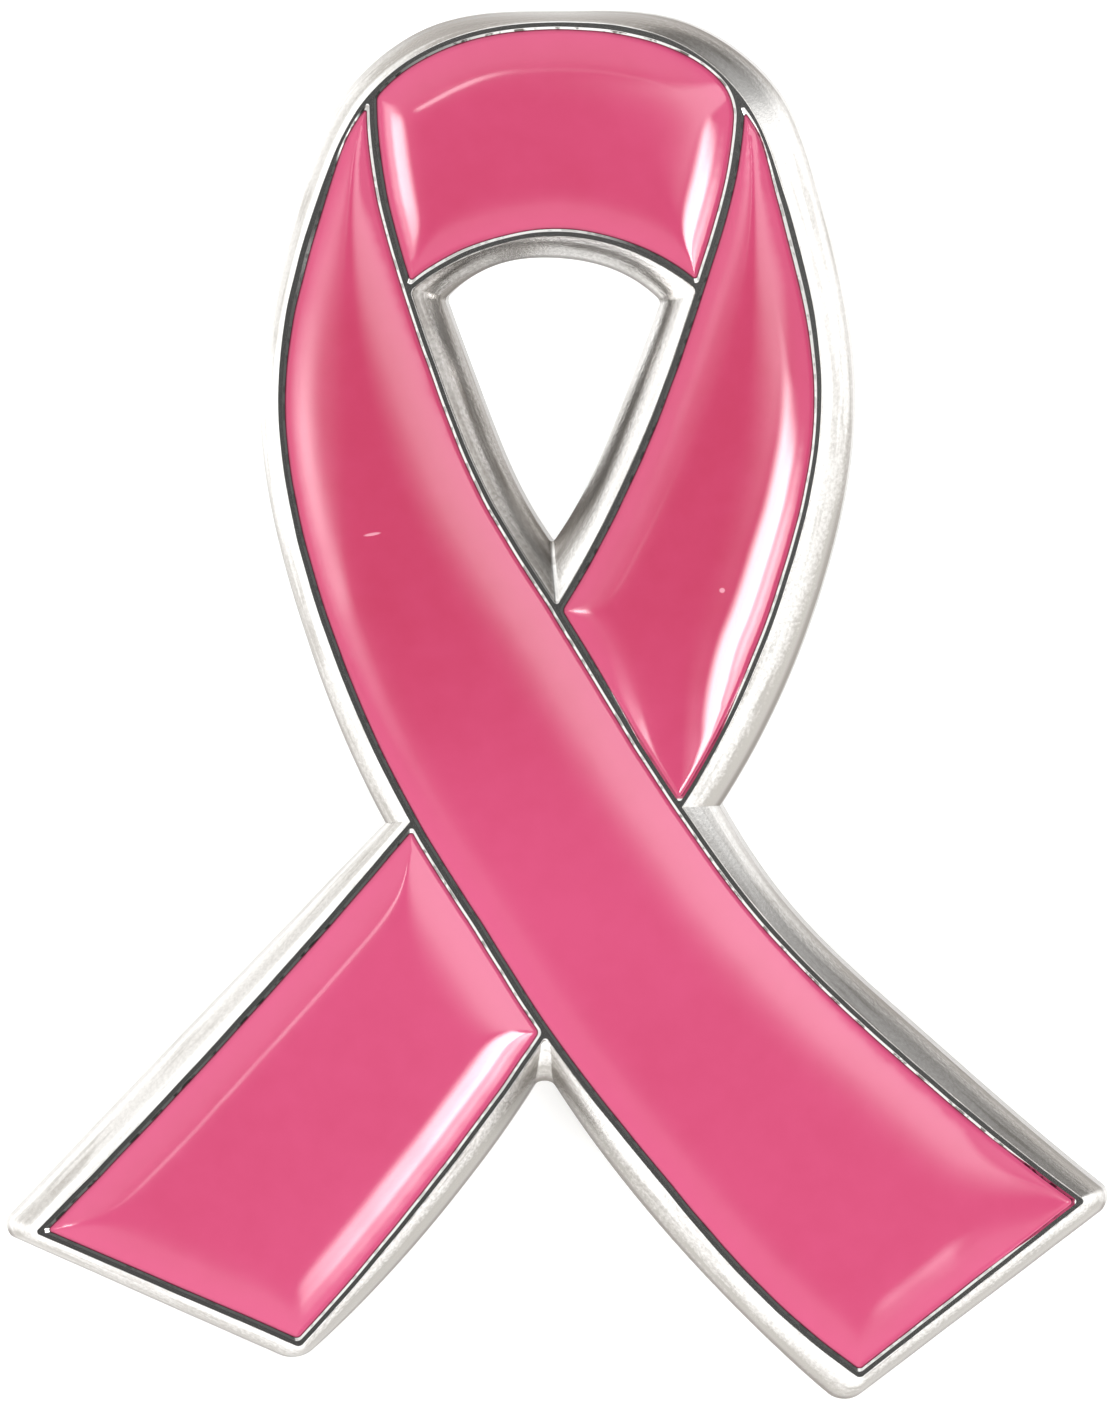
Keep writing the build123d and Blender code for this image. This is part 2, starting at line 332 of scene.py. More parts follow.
def amount(name, description, value, highest=1.0):
    """Plain number property from zero up."""
    return FloatProperty(
        name=name, description=description, default=value, min=0.0, max=highest
    )


def colour(name, description, value):
    """Linear colour property."""
    return FloatVectorProperty(
        name=name,
        description=description,
        default=value,
        size=3,
        min=0.0,
        max=1.0,
        subtype="COLOR",
    )


class CastingSizes(bpy.types.PropertyGroup):
    wall_width: length("Wall width", "Width of the flat wall tops", 0.085)
    bevel_width: length("Bevel width", "Reach of the slope down to a fill", 0.045)
    bevel_drop: length("Bevel drop", "Fall of the slope down to a fill", 0.021)
    edge_bevel: length("Edge bevel", "Softened outer edge of the walls", 0.004)
    shoulder_width: length("Shoulder width", "Ledge at the foot of the walls", 0.015)
    shoulder_round: length("Shoulder corner", "Rounding of the outline's corners", 0.15)
    cell_round: length("Cell corner", "Rounding of the corners of each cell", 0.08)
    tip_round: length("Cell tip", "Metal left in the narrow tips of the cells", 0.30)
    waver: length("Waver", "Unevenness of every line of the face", 0.008)
    post_radius: length("Post radius", "Half the thickness of the post", 0.5)
    post_length: length("Post length", "Back of the casting to the tip", 8.0)
    post_point: length("Post point", "Length of the tapered point", 1.2)
    post_tip: length("Post tip", "Radius of the rounded tip", 0.15)
    lump_height: length("Cast unevenness", "Height of the lumps in the sides", 0.004)


class EnamelSizes(bpy.types.PropertyGroup):
    gap: length("Gap", "Space between a fill and the wall of its cell", 0.004)
    bed: length("Bed", "Space under a fill", 0.02)
    edge_drop: length("Edge drop", "How far a fill's edge lies under the rim", 0.045)
    roll_rise: length("Edge roll height", "Rise of the rolled edge", 0.035)
    roll_width: length("Edge roll width", "Reach of the rolled edge", 0.025)
    slope_rise: length("Slope height", "Rise of the sloped border", 0.15)
    slope_width: length("Slope width", "Reach of the sloped border", 0.48)
    crown_rise: length("Crown height", "Slight dome of the middle", 0.02)
    crown_width: length("Crown width", "Reach of the slight dome", 1.6)


class FinishSettings(bpy.types.PropertyGroup):
    enamel_colour: colour("Enamel", "Pink of the fills", (0.498, 0.068, 0.157))
    enamel_deep: colour("Deep enamel", "Pink of deeper parts", (0.408, 0.042, 0.098))
    enamel_light: colour("Thin enamel", "Pink near the walls", (0.570, 0.078, 0.200))
    enamel_mark: colour("Enamel marks", "Pale scratches and specks", (0.75, 0.40, 0.48))
    # Painted shade of the crevice where a fill meets its wall
    enamel_crevice_shade: colour("Enamel edge", "Pink at the walls' foot", (0.16, 0.018, 0.04))
    plating_colour: colour("Plating", "Silver-white plating", (0.88, 0.87, 0.855))
    # Dull plating for random streaks and wear, and also for painted shade on some sides
    plating_dull_and_shade: colour("Dull plating", "Plating without shine", (0.42, 0.40, 0.375))
    # Colour of the painted shade on the casting
    plating_shade: colour("Dark plating", "Plating with grime", (0.17, 0.15, 0.135))
    enamel_roughness: amount("Enamel roughness", "Gloss of the fills", 0.05)
    wall_roughness: amount("Wall roughness", "Gloss of the polished wall tops", 0.08)
    cast_roughness: amount("Cast roughness", "Gloss of the unpolished sides", 0.22)


class StudioSettings(bpy.types.PropertyGroup):
    floor_colour: colour("Floor", "Pale floor", (0.90, 0.90, 0.90))
    tent_strength: amount("Tent", "Brightness of the white surroundings", 0.92, 10.0)
    side_share: amount("Sides", "Tent's sides against its top", 1.55, 10.0)
    back_share: amount("Back", "Tent's dark back against the rest", 0.34)
    dim_share: amount("Dim", "Tent's dim ring at the right against the rest", 0.12)
    camera_share: amount("Camera", "How much the camera darkens the tent", 0.94)
    key_strength: amount("Key light", "Lower right panels", 22.0, 50.0)
    left_strength: amount("Left light", "Left panels", 9.0, 50.0)
    broad_strength: amount("Broad light", "Broad panel beside the camera", 3.7, 50.0)
    low_strength: amount("Low light", "Soft light from below", 0.5, 50.0)
    crease_strength: amount("Crease light", "Slim upper left panels", 9.0, 50.0)
    floor_glow: amount("Floor glow", "Light that comes through the floor", 0.25, 10.0)
    lens: FloatProperty(
        name="Lens", description="Focal length", default=600.0, unit="CAMERA"
    )


# Curves through the tables

def spots(rows):
    """Rows of a line as points on the face, with junctions looked up."""
    shares = [JUNCTIONS[row] if isinstance(row, str) else row for row in rows]
    return np.array(shares) * (FACE_WIDTH, FACE_HEIGHT)


def unit(vectors):
    """Vectors at length one."""
    return vectors / np.linalg.norm(vectors, axis=-1, keepdims=True)


def knots_through(rows):
    """Points of a line and the heading at each, from the circle through three."""
    points = spots(rows)
    legs = np.diff(points, axis=0)
    chords = unit(legs)
    if len(points) == 2:
        return points, np.repeat(chords, 2, axis=0)
    sizes = np.linalg.norm(legs, axis=1)
    share = (sizes[:-1] / (sizes[:-1] + sizes[1:]))[:, None]
    middle = unit(chords[:-1] * (1 - share) + chords[1:] * share)
    first = unit(chords[0] * 2 - middle[0])
    last = unit(chords[-1] * 2 - middle[-1])
    return points, np.vstack([first, middle, last])


def stretches(line, *junctions):
    """Cut a wall line at its junctions, in the order they are given."""
    rows = WALL_LINES[line]
    points, headings = knots_through(rows)
    found = []
    for start, end in zip(junctions, junctions[1:]):
        a, b = rows.index(start), rows.index(end)
        if a < b:
            found.append((points[a:b + 1], headings[a:b + 1]))
        else:
            found.append((points[b:a + 1][::-1], -headings[b:a + 1][::-1]))
    return found


def loop_of(cuts):
    """Closed loop of stretches from a table of cuts."""
    return [stretch for cut in cuts for stretch in stretches(*cut)]


def outward(headings):
    """Left of the heading, which is outward on a clockwise loop."""
    return np.stack([-headings[..., 1], headings[..., 0]], axis=-1)


def offset_loop(loop, distance):
    """Move a clockwise loop outward, keeping its corners sharp."""
    moved = []
    for i, (points, headings) in enumerate(loop):
        before = outward(headings).copy()
        after = before.copy()
        before[0] = outward(loop[i - 1][1][-1])
        after[-1] = outward(loop[(i + 1) % len(loop)][1][0])
        miter = before + after
        reach = 2 * distance / (miter * miter).sum(axis=1, keepdims=True)
        moved.append((points + miter * reach, headings))
    return moved


def corners_of(loop, radius, tip_radius):
    """Radius for each stretch that ends in a corner, larger in a narrow tip."""
    found = {}
    for i, (_, headings) in enumerate(loop):
        turn = headings[-1] @ loop[(i + 1) % len(loop)][1][0]
        if turn < math.cos(math.radians(TIP_TURN)):
            found[i] = tip_radius
        elif turn < math.cos(math.radians(CORNER_TURN)):
            found[i] = radius
    return found


def round_loop(loop, corners):
    """Round the corners that end the numbered stretches, each by its radius."""
    rounded = []
    for i, (points, headings) in enumerate(loop):
        points = points.copy()
        points[0] += headings[0] * corners.get((i - 1) % len(loop), 0)
        points[-1] -= headings[-1] * corners.get(i, 0)
        rounded.append((points, headings))
        if i in corners:
            after = loop[(i + 1) % len(loop)]
            leave = after[0][0] + after[1][0] * corners[i]
            turn = np.array([headings[-1], after[1][0]])
            rounded.append((np.array([points[-1], leave]), turn))
    return rounded


def curve(points, start, end, count):
    """Points along a smooth curve through all the points, its end left off."""
    legs = np.diff(points, axis=0)
    steps = np.linalg.norm(legs, axis=1)
    slopes = legs / steps[:, None]
    rows = np.eye(len(points))
    right = np.zeros((len(points), 2))
    right[0], right[-1] = start, end
    for i in range(1, len(points) - 1):
        rows[i, i - 1:i + 2] = steps[i], 2 * (steps[i - 1] + steps[i]), steps[i - 1]
        right[i] = 3 * (steps[i] * slopes[i - 1] + steps[i - 1] * slopes[i])
    tangents = np.linalg.solve(rows, right)
    ends = np.concatenate([[0], np.cumsum(steps)])
    along = np.linspace(0, ends[-1], count + 1)[:-1]
    i = np.clip(np.searchsorted(ends, along, side="right") - 1, 0, len(steps) - 1)
    t = ((along - ends[i]) / steps[i])[:, None]
    size = steps[i][:, None]
    return (
        points[i] * (1 + 2 * t) * (1 - t) ** 2
        + tangents[i] * size * t * (1 - t) ** 2
        + points[i + 1] * t ** 2 * (3 - 2 * t)
        + tangents[i + 1] * size * t ** 2 * (t - 1)
    )


def counts_of(loop, spacing):
    """Number of points for each stretch of a loop at a spacing."""
    sizes = [np.linalg.norm(np.diff(p, axis=0), axis=1).sum() for p, _ in loop]
    return [max(FEWEST_POINTS, math.ceil(size / spacing)) for size in sizes]


def ring_of(loop, counts, waver=0.0):
    """Closed ring of points along a loop, with the unevenness of hand finishing."""
    parts = [curve(p, h[0], h[-1], n) for (p, h), n in zip(loop, counts)]
    points = np.vstack(parts)
    noise.seed_set(WAVER_SEED)
    places = [Vector((x, y, 0)) / WAVER_LENGTH for x, y in points]
    moves = [noise.noise_vector(place)[:2] for place in places]
    return points + np.array(moves) * waver


# Distances on the face

def blocks(points, size=1500):
    """Rows of an array, a few at a time."""
    for i in range(0, max(1, len(points)), size):
        yield points[i:i + size]


def reach_to(points, ring):
    """Distance from each point to a closed ring."""
    legs = np.roll(ring, -1, axis=0) - ring
    squares = (legs * legs).sum(axis=1)
    found = []
    for some in blocks(points):
        gap = some[:, None] - ring[None]
        t = np.clip((gap * legs).sum(axis=2) / squares, 0, 1)
        gap -= t[..., None] * legs
        found.append(np.sqrt((gap * gap).sum(axis=2).min(axis=1)))
    return np.concatenate(found)


def soft_reach_to(points, ring, power=5):
    """Distance to a closed ring that stays smooth where two sides are as near."""
    legs = np.roll(ring, -1, axis=0) - ring
    middles = ring + legs / 2
    sizes = np.linalg.norm(legs, axis=1)
    straight = math.gamma(0.5) * math.gamma(power / 2) / math.gamma((power + 1) / 2)
    found = []
    for some in blocks(points):
        gap = some[:, None] - middles[None]
        near = (gap * gap).sum(axis=2) ** (-(power + 1) / 2)
        found.append(((near @ sizes) / straight) ** (-1 / power))
    return np.concatenate(found)


def inside(points, ring):
    """Which points lie inside a closed ring."""
    ahead = np.roll(ring, -1, axis=0)
    found = []
    for some in blocks(points):
        x, y = some[:, 0:1], some[:, 1:2]
        crosses = (ring[:, 1] > y) != (ahead[:, 1] > y)
        rise = ahead[:, 1] - ring[:, 1]
        rise = np.where(rise == 0, 1, rise)
        at = ring[:, 0] + (y - ring[:, 1]) / rise * (ahead[:, 0] - ring[:, 0])
        found.append((crosses & (x < at)).sum(axis=1) % 2 == 1)
    return np.concatenate(found)


def grid_inside(ring):
    """Even triangular grid of points inside a ring, clear of its line."""
    low, high = ring.min(axis=0), ring.max(axis=0)
    rows = []
    for j, y in enumerate(np.arange(low[1], high[1], GRID_SPACING * math.sqrt(3) / 2)):
        x = np.arange(low[0] + GRID_SPACING / 2 * (j % 2), high[0], GRID_SPACING)
        rows.append(np.stack([x, np.full(len(x), y)], axis=1))
    points = np.vstack(rows)
    points = points[inside(points, ring)]
    return points[reach_to(points, ring) > GRID_MARGIN]


# Meshes

def face_frame():
    """Matrix of the flat face: across, up, out of the face, and its corner."""
    post = frame["record"]["mounts"][0]
    out = -Vector(post["axis"]).normalized()
    up = Vector((0, out.z, -out.y)).normalized()
    across = up.cross(out)
    half_post = post["dims"]["length_mm"] / 2 * MM
    head = Vector(post["pos_m"]) + out * half_post
    placed = Matrix((across, up, out)).transposed().to_4x4()
    placed.translation = head - across * POST_ACROSS - up * POST_UP
    return placed


def away_from(turn, tilt):
    """Direction turned round the face from its right and tilted from its normal."""
    turn, tilt = math.radians(turn), math.radians(tilt)
    round_face = Vector((math.cos(turn), math.sin(turn), 0)) * math.sin(tilt)
    return face_frame().to_3x3() @ (round_face + Vector((0, 0, math.cos(tilt))))


class Form:
    """Points and faces of one piece while it is put together on the face."""

    def __init__(self):
        self.points = []
        self.faces = []
        self.flat = set()
        self.count = 0

    def add(self, plan, heights):
        """Add points given on the face, and return their numbers."""
        heights = np.broadcast_to(heights, len(plan))
        self.points.append(np.column_stack([plan, heights]))
        first = self.count
        self.count += len(plan)
        return np.arange(first, self.count)

    def band(self, low, high):
        """Join two rings of as many points."""
        for a, b, c, d in zip(low, np.roll(low, -1), np.roll(high, -1), high):
            self.faces.append((int(a), int(b), int(c), int(d)))

    def stack(self, rings):
        """Add rings of (plan, height) and join each to the next."""
        numbered = [self.add(plan, height) for plan, height in rings]
        for low, high in zip(numbered, numbered[1:]):
            self.band(low, high)
        return numbered

    def fill(self, outer, holes=(), loose=()):
        """Triangles inside a ring, round its holes and through loose points.

        A fill without loose points is flat and has sharp borders.
        """
        plan = np.vstack(self.points)[:, :2] / MM
        numbers = np.concatenate([outer, *holes, loose]).astype(int)
        loops, start = [], 0
        for ring in (outer, *holes):
            x, y = plan[ring].T
            turned = (x * np.roll(y, -1) - y * np.roll(x, -1)).sum() < 0
            loop = list(range(start, start + len(ring)))
            loops.append(loop[::-1] if turned else loop)
            start += len(ring)
        flat = [Vector(plan[n]) for n in numbers]
        made = delaunay_2d_cdt(flat, [], loops, 0, 1e-7)
        _, _, triangles, sources, _, covers = made
        if any(len(source) != 1 for source in sources):
            raise RuntimeError("two outlines of the face cross or touch")
        for triangle, cover in zip(triangles, covers):
            if list(cover) == [0]:
                if not len(loose):
                    self.flat.add(len(self.faces))
                self.faces.append(tuple(int(numbers[sources[v][0]]) for v in triangle))

    def piece(self, name, material):
        """Make the object, closed and smooth, with creases at its real edges."""
        mesh = bpy.data.meshes.new(name)
        mesh.from_pydata(np.vstack(self.points).tolist(), [], self.faces)
        mesh.transform(face_frame())
        work = bmesh.new()
        work.from_mesh(mesh)
        bmesh.ops.recalc_face_normals(work, faces=work.faces)
        open_edges = sum(not edge.is_manifold for edge in work.edges)
        if open_edges:
            raise RuntimeError(f"{name} has {open_edges} open edges")
        for edge in work.edges:
            sides = {face.index in self.flat for face in edge.link_faces}
            edge.smooth = edge.calc_face_angle() < CREASE and len(sides) == 1
        work.to_mesh(mesh)
        work.free()
        mesh.polygons.foreach_set("use_smooth", [True] * len(mesh.polygons))
        mesh.materials.append(material)
        piece = bpy.data.objects.new(name, mesh)
        bpy.context.scene.collection.objects.link(piece)
        weighted = piece.modifiers.new("Even shading", "WEIGHTED_NORMAL")
        weighted.keep_sharp = True
        return piece


# Shader maths

# Sockets of a Mix node that blends colours
MIX_FACTOR = 0
MIX_FIRST = 6
MIX_SECOND = 7
MIX_RESULT = 2


class Value:
    """Output of a shader node that can be used in an expression."""

    def __init__(self, shader, socket):
        self.shader = shader
        self.socket = socket

    def math(self, operation, *others):
        """Math node on this value and others."""
        inputs = dict(enumerate((self, *others)))
        return self.shader.node("ShaderNodeMath", inputs, operation=operation)

    def __add__(self, other):
        return self.math("ADD", other)

    def __sub__(self, other):
        return self.math("SUBTRACT", other)

    def __mul__(self, other):
        return self.math("MULTIPLY", other)

    def __truediv__(self, other):
        return self.math("DIVIDE", other)

    def __rsub__(self, other):
        inputs = {0: other, 1: self}
        return self.shader.node("ShaderNodeMath", inputs, operation="SUBTRACT")

    __radd__ = __add__
    __rmul__ = __mul__

    def ramp(self, low, high):
        """Smooth step from zero at low to one at high."""
        inputs = {"Value": self, "From Min": low, "From Max": high}
        return self.shader.node(
            "ShaderNodeMapRange", inputs, interpolation_type="SMOOTHSTEP"
        )


class Shader:
    """Node tree of one material or world."""

    def __init__(self, tree):
        self.tree = tree
        tree.nodes.clear()

    def node(self, kind, inputs=None, output=0, **settings):
        """Add a node: its settings first, then the values or links of its sockets."""
        node = self.tree.nodes.new(kind)
        for name, value in settings.items():
            setattr(node, name, value)
        for name, value in (inputs or {}).items():
            if isinstance(value, Value):
                self.tree.links.new(value.socket, node.inputs[name])
            else:
                node.inputs[name].default_value = value
        return Value(self, node.outputs[output]) if len(node.outputs) else node

    def mix(self, first, second, factor):
        """Blend of two colours by a value."""
        inputs = {MIX_FACTOR: factor}
        for socket, pick in ((MIX_FIRST, first), (MIX_SECOND, second)):
            inputs[socket] = pick if isinstance(pick, Value) else (*pick, 1.0)
        return self.node("ShaderNodeMix", inputs, output=MIX_RESULT, data_type="RGBA")

    def noise(self, place, feature, detail=2.0, roughness=0.5):
        """Noise with features of about the given length, from nought to one."""
        inputs = {
            "Vector": place,
            "Scale": 1.0 / feature,
            "Detail": detail,
            "Roughness": roughness,
        }
        return self.node("ShaderNodeTexNoise", inputs)

    def facing(self, normal, side):
        """Smooth step from zero to one as a surface turns towards a side."""
        turn, start, full = side
        return self.dot(normal, away_from(turn, 90)).ramp(start, full)

    def axis(self, place, name):
        """One coordinate of a place."""
        return self.node("ShaderNodeSeparateXYZ", {"Vector": place}, output=name)

    def measure(self, operation, place, other):
        """Number that a place gives with a fixed vector."""
        inputs = {0: place, 1: tuple(other)}
        return self.node(
            "ShaderNodeVectorMath", inputs, output="Value", operation=operation
        )

    def dot(self, place, direction):
        """How far a place lies along a direction."""
        return self.measure("DOT_PRODUCT", place, direction)

    def face_height(self, place):
        """Height of a place above the flat back of the casting."""
        face = face_frame()
        out = face.col[2].to_3d()
        return self.dot(place, out) - out.dot(face.translation)

    def bump(self, height, distance, strength):
        """Normal of a surface raised by a height."""
        inputs = {"Height": height, "Distance": distance, "Strength": strength}
        return self.node("ShaderNodeBump", inputs)


def material_of(name):
    """Get or make a material and its empty shader."""
    material = bpy.data.materials.get(name) or bpy.data.materials.new(name)
    material.use_nodes = True
    return material, Shader(material.node_tree)


def surface(shader, inputs):
    """Principled surface linked to the material's output."""
    body = shader.node("ShaderNodeBsdfPrincipled", inputs)
    shader.node("ShaderNodeOutputMaterial", {"Surface": body})


def hole_middle():
    """Middle of the hole, half way up the casting."""
    x, y = spots(["arch_left", "arch_right", "hole_foot"]).mean(axis=0)
    return face_frame() @ Vector((x, y, SHOULDER / 2))


def plating_material():
    """Bright plating: polished wall tops over a cast body, with painted shade on some
    sides.
    """
    finish = bpy.context.scene.pin_finish
    material, shader = material_of("bright_plating")
    place = shader.node("ShaderNodeTexCoord", output="Object")
    height = shader.face_height(place)
    cast = 1 - height.ramp(*CAST_END)
    normal = shader.node("ShaderNodeNewGeometry", output="Normal")
    # Sides that look down and up, and the lower sides, which get painted shade
    below = shader.facing(normal, BELOW)
    above = shader.facing(normal, ABOVE)
    lower = 1 - height.ramp(*LOWER_END)
    # Painted shade along the foot of the skirt
    edge = 1 - height.ramp(*EDGE_END)
    stretch = 0.06
    along = shader.node("ShaderNodeCombineXYZ", {
        "X": shader.axis(place, "X") * stretch,
        "Y": shader.axis(place, "Y") * stretch,
        "Z": height,
    })
    streak = shader.noise(along, STREAK_LENGTH)
    grain = shader.noise(place, GRAIN_LENGTH, 3.0, 0.6)
    wear = shader.noise(place, WEAR_LENGTH)
    # Painted shade in the hole, on its sides that look to the right
    in_hole = shader.measure("DISTANCE", place, hole_middle())
    in_hole = 1 - in_hole.ramp(*HOLE_REACH)
    painted_shade = shader.facing(normal, HOLE_LEFT) * in_hole
    # Painted shade on outer sides that look right, and on sides that look up and left
    # half way up
    right = shader.facing(normal, RIGHT) * (1 - in_hole)
    band = height.ramp(*BAND_START) * (1 - height.ramp(*BAND_END))
    left = shader.facing(normal, LEFT) * band
    # Dull plating in random streaks and wear, plus painted shade by the way a side
    # looks and in the hole
    dullness_and_shade = streak.ramp(0.48, 0.62) * wear.ramp(0.30, 0.60) * 0.4
    dullness_and_shade = dullness_and_shade + below * lower * (1 - in_hole * 0.8) * 0.90 + above
    dullness_and_shade = dullness_and_shade + painted_shade * 0.50 + right * 0.60 + left * 0.75
    dullness_and_shade = dullness_and_shade + (grain - 0.5) * (0.5 + (below + above + right + painted_shade) * 0.6)
    back = 1 - shader.dot(normal, away_from(0, 0)).ramp(-0.8, -0.4)
    dullness_and_shade = dullness_and_shade * cast + back * 0.5
    base = shader.mix(finish.plating_colour, finish.plating_dull_and_shade, dullness_and_shade)
    # Painted shade: along the foot, more on sides that look down, on sides that look
    # up, and in streaks in the hole
    dark = edge * (0.28 + below * 0.42) + (above * 0.55 + painted_shade * streak * 0.8) * cast
    # Painted shade in broken lines on the bevels down to the fills, more on those that
    # look down
    broken = shader.noise(place, BROKEN_LENGTH).ramp(0.50, 0.62) * (1 - cast)
    bevel = 1 - height.ramp(*BEVEL_END)
    dark = dark + broken * bevel * (0.3 + below * 0.7)
    # Painted shade mixed into the plating
    base = shader.mix(base, finish.plating_shade, dark)
    rough = finish.wall_roughness + cast * (
        finish.cast_roughness - finish.wall_roughness + (grain - 0.5) * 0.10
    )
    normal = shader.bump((grain * 0.6 + streak) * cast, 0.010 * MM, 0.6)
    surface(shader, {
        "Base Color": base,
        "Metallic": 1.0,
        "Roughness": rough,
        "Normal": normal,
    })
    return material


def enamel_material():
    """Glossy pink fill: deeper upwards, thinner near the walls, with painted crevice
    shade at the walls and small marks.
    """
    finish = bpy.context.scene.pin_finish
    material, shader = material_of("pink_enamel")
    place = shader.node("ShaderNodeTexCoord", output="Object")
    drift = shader.noise(place, DRIFT_LENGTH)
    cloud = shader.noise(place, CLOUD_LENGTH, 3.0)
    up = shader.dot(place, away_from(90, 90)) / FACE_HEIGHT
    deep = up.ramp(*DEEP_START) * (1 - up.ramp(*DEEP_END) * 0.6) * 0.85
    deep = deep + drift.ramp(0.35, 0.70) * 0.2
    deep = deep + (cloud - 0.5) * 0.4
    base = shader.mix(finish.enamel_colour, finish.enamel_deep, deep)
    height = shader.face_height(place)
    thin = 1 - height.ramp(*ENAMEL_THIN_END)
    base = shader.mix(base, finish.enamel_light, thin * 0.3)
    # Painted shade in the crevice at the walls' foot
    edge = 1 - height.ramp(*ENAMEL_SHADE_END)
    base = shader.mix(base, finish.enamel_crevice_shade, edge * 0.8)
    for x, y, long, wide, turn in MARKS:
        middle = face_frame() @ Vector((x * FACE_WIDTH, y * FACE_HEIGHT, RIM))
        reach = 0.0
        for direction, size in ((turn, long), (turn + 90, wide)):
            way = away_from(direction, 90)
            off = (shader.dot(place, way) - way.dot(middle)) / size
            reach = reach + off * off
        mark = 1 - reach.ramp(0.5, 1.5)
        base = shader.mix(base, finish.enamel_mark, mark * 0.6)
    across = shader.dot(place, away_from(0, 90)) / FACE_WIDTH
    worn = (1 - across.ramp(*WORN_ACROSS)) * up.ramp(*WORN_UP)
    ripple = shader.noise(place, RIPPLE_LENGTH, 1.0)
    normal = shader.bump(ripple, 0.004 * MM, 0.5)
    surface(shader, {
        "Base Color": base,
        "Roughness": finish.enamel_roughness + worn * 0.14,
        "IOR": 1.5,
        "Normal": normal,
    })
    return material


def floor_material():
    """Pale matt floor with the faintest unevenness."""
    material, shader = material_of("pale_floor")
    place = shader.node("ShaderNodeTexCoord", output="Object")
    pale = tuple(bpy.context.scene.pin_studio.floor_colour)
    warm = tuple(0.985 * part for part in pale)
    base = shader.mix(pale, warm, shader.noise(place, 12 * MM))
    surface(shader, {
        "Base Color": base,
        "Roughness": 0.8,
        "Emission Color": (1.0, 1.0, 1.0, 1.0),
        "Emission Strength": bpy.context.scene.pin_studio.floor_glow,
    })
    return material


# Pieces

def cell_ring(cell, inset, counts=None, spacing=RING_SPACING):
    """Ring round a cell, inward from the middle of its walls."""
    loop = loop_of(CELLS[cell])
    sizes = bpy.context.scene.pin_casting
    corners = corners_of(loop, sizes.cell_round, sizes.tip_round)
    corners |= WIDE_CORNERS.get(cell, {})
    rounded = round_loop(offset_loop(loop, -inset), corners)
    counts = counts or counts_of(rounded, spacing)
    return ring_of(rounded, counts, sizes.waver), counts


def side_rings(low, foot, shoulder):
    """Rings up one side of the casting, from its back to its shoulder."""
    skirt = np.linspace(BACK_BEVEL, SKIRT_TOP - FLANK_ROUND, SKIRT_RINGS)
    rows = [(0.0, z) for z in skirt]
    for share in np.linspace(0, 1, FLANK_RINGS) ** FLANK_BUNCHING:
        rise = (1 - FLANK_BULGE) * share + FLANK_BULGE * (1 - (1 - share) ** 3)
        rows.append((share, SKIRT_TOP + (SHOULDER - SKIRT_TOP) * rise))
    rings = [(foot * (1 - share) + shoulder * share, z) for share, z in rows]
    return [(low, BACK), *rings]


def wall_rings(line, corners, counts, turn):
    """Rings up the outer side of a wall; turn is the sign of outward."""
    sizes = bpy.context.scene.pin_casting
    bevel = sizes.edge_bevel
    found = []
    for inset, height in ((0, RIM - bevel), (bevel, RIM)):
        moved = offset_loop(line, turn * (sizes.wall_width / 2 - inset))
        rounded = round_loop(moved, dict.fromkeys(corners, sizes.cell_round))
        found.append((ring_of(rounded, counts, sizes.waver), height))
    return found


def lumpy(rings, shift):
    """Give the side rings the slow unevenness of a cast surface."""
    height = bpy.context.scene.pin_casting.lump_height
    uneven = []
    last = len(rings) - 1
    for i, (plan, z) in enumerate(rings):
        fade = min(1.0, i / 2, (last - i) / 2)
        middle = plan.mean(axis=0)
        away = unit(plan - middle)
        size = [
            noise.noise(Vector((x, y, z)) / LUMP_LENGTH + Vector((shift, 0, 0)))
            for x, y in plan
        ]
        moves = (np.array(size) - 1) * height * fade
        uneven.append((plan + away * moves[:, None], z))
    return uneven


def foot_loop():
    """Loop of the casting's foot, from the cusp at the upper left."""
    whole = knots_through(FOOT_CROWN)
    left, right = (FOOT_CROWN.index(cusp) for cusp in FOOT_CUSPS)
    top = tuple(part[left:right + 1] for part in whole)
    down = tuple(part[right:] for part in whole)
    up = tuple(part[:left + 1] for part in whole)
    return [top, down, *(knots_through(rows) for rows in FOOT_LINES), up]


def post_profile():
    """Radius and height of the post, from the flat back to its rounded tip."""
    sizes = bpy.context.scene.pin_casting
    shank = sizes.post_length - sizes.post_point
    tip = sizes.post_length - sizes.post_tip
    profile = [
        (sizes.post_radius * POST_FLARE, 0.0),
        (sizes.post_radius, -POST_NECK),
        (sizes.post_radius, -shank / 2),
        (sizes.post_radius, -shank),
    ]
    for share in (0.5, 1.0):
        profile.append((
            sizes.post_radius * (1 - share) + sizes.post_tip * share,
            -shank * (1 - share) - tip * share,
        ))
    for angle in np.radians(POST_TIP_ANGLES):
        profile.append((
            sizes.post_tip * math.cos(angle),
            -tip - sizes.post_tip * math.sin(angle),
        ))
    return profile


def casting_side(foot, line, corners, rounds, spacing, turn):
    """Rings up a whole side; rounds are the radii at its foot and shoulder."""
    sizes = bpy.context.scene.pin_casting
    ledge = sizes.wall_width / 2 + sizes.shoulder_width
    foot_corners, shoulder_corners = (dict.fromkeys(corners, r) for r in rounds)
    foot = round_loop(foot, foot_corners)
    low = offset_loop(foot, -turn * BACK_BEVEL)
    shoulder = round_loop(offset_loop(line, turn * ledge), shoulder_corners)
    counts = counts_of(foot, spacing)
    rings = side_rings(*(ring_of(loop, counts) for loop in (low, foot, shoulder)))
    return lumpy(rings, LUMP_SHIFT[turn]) + wall_rings(line, corners, counts, turn)


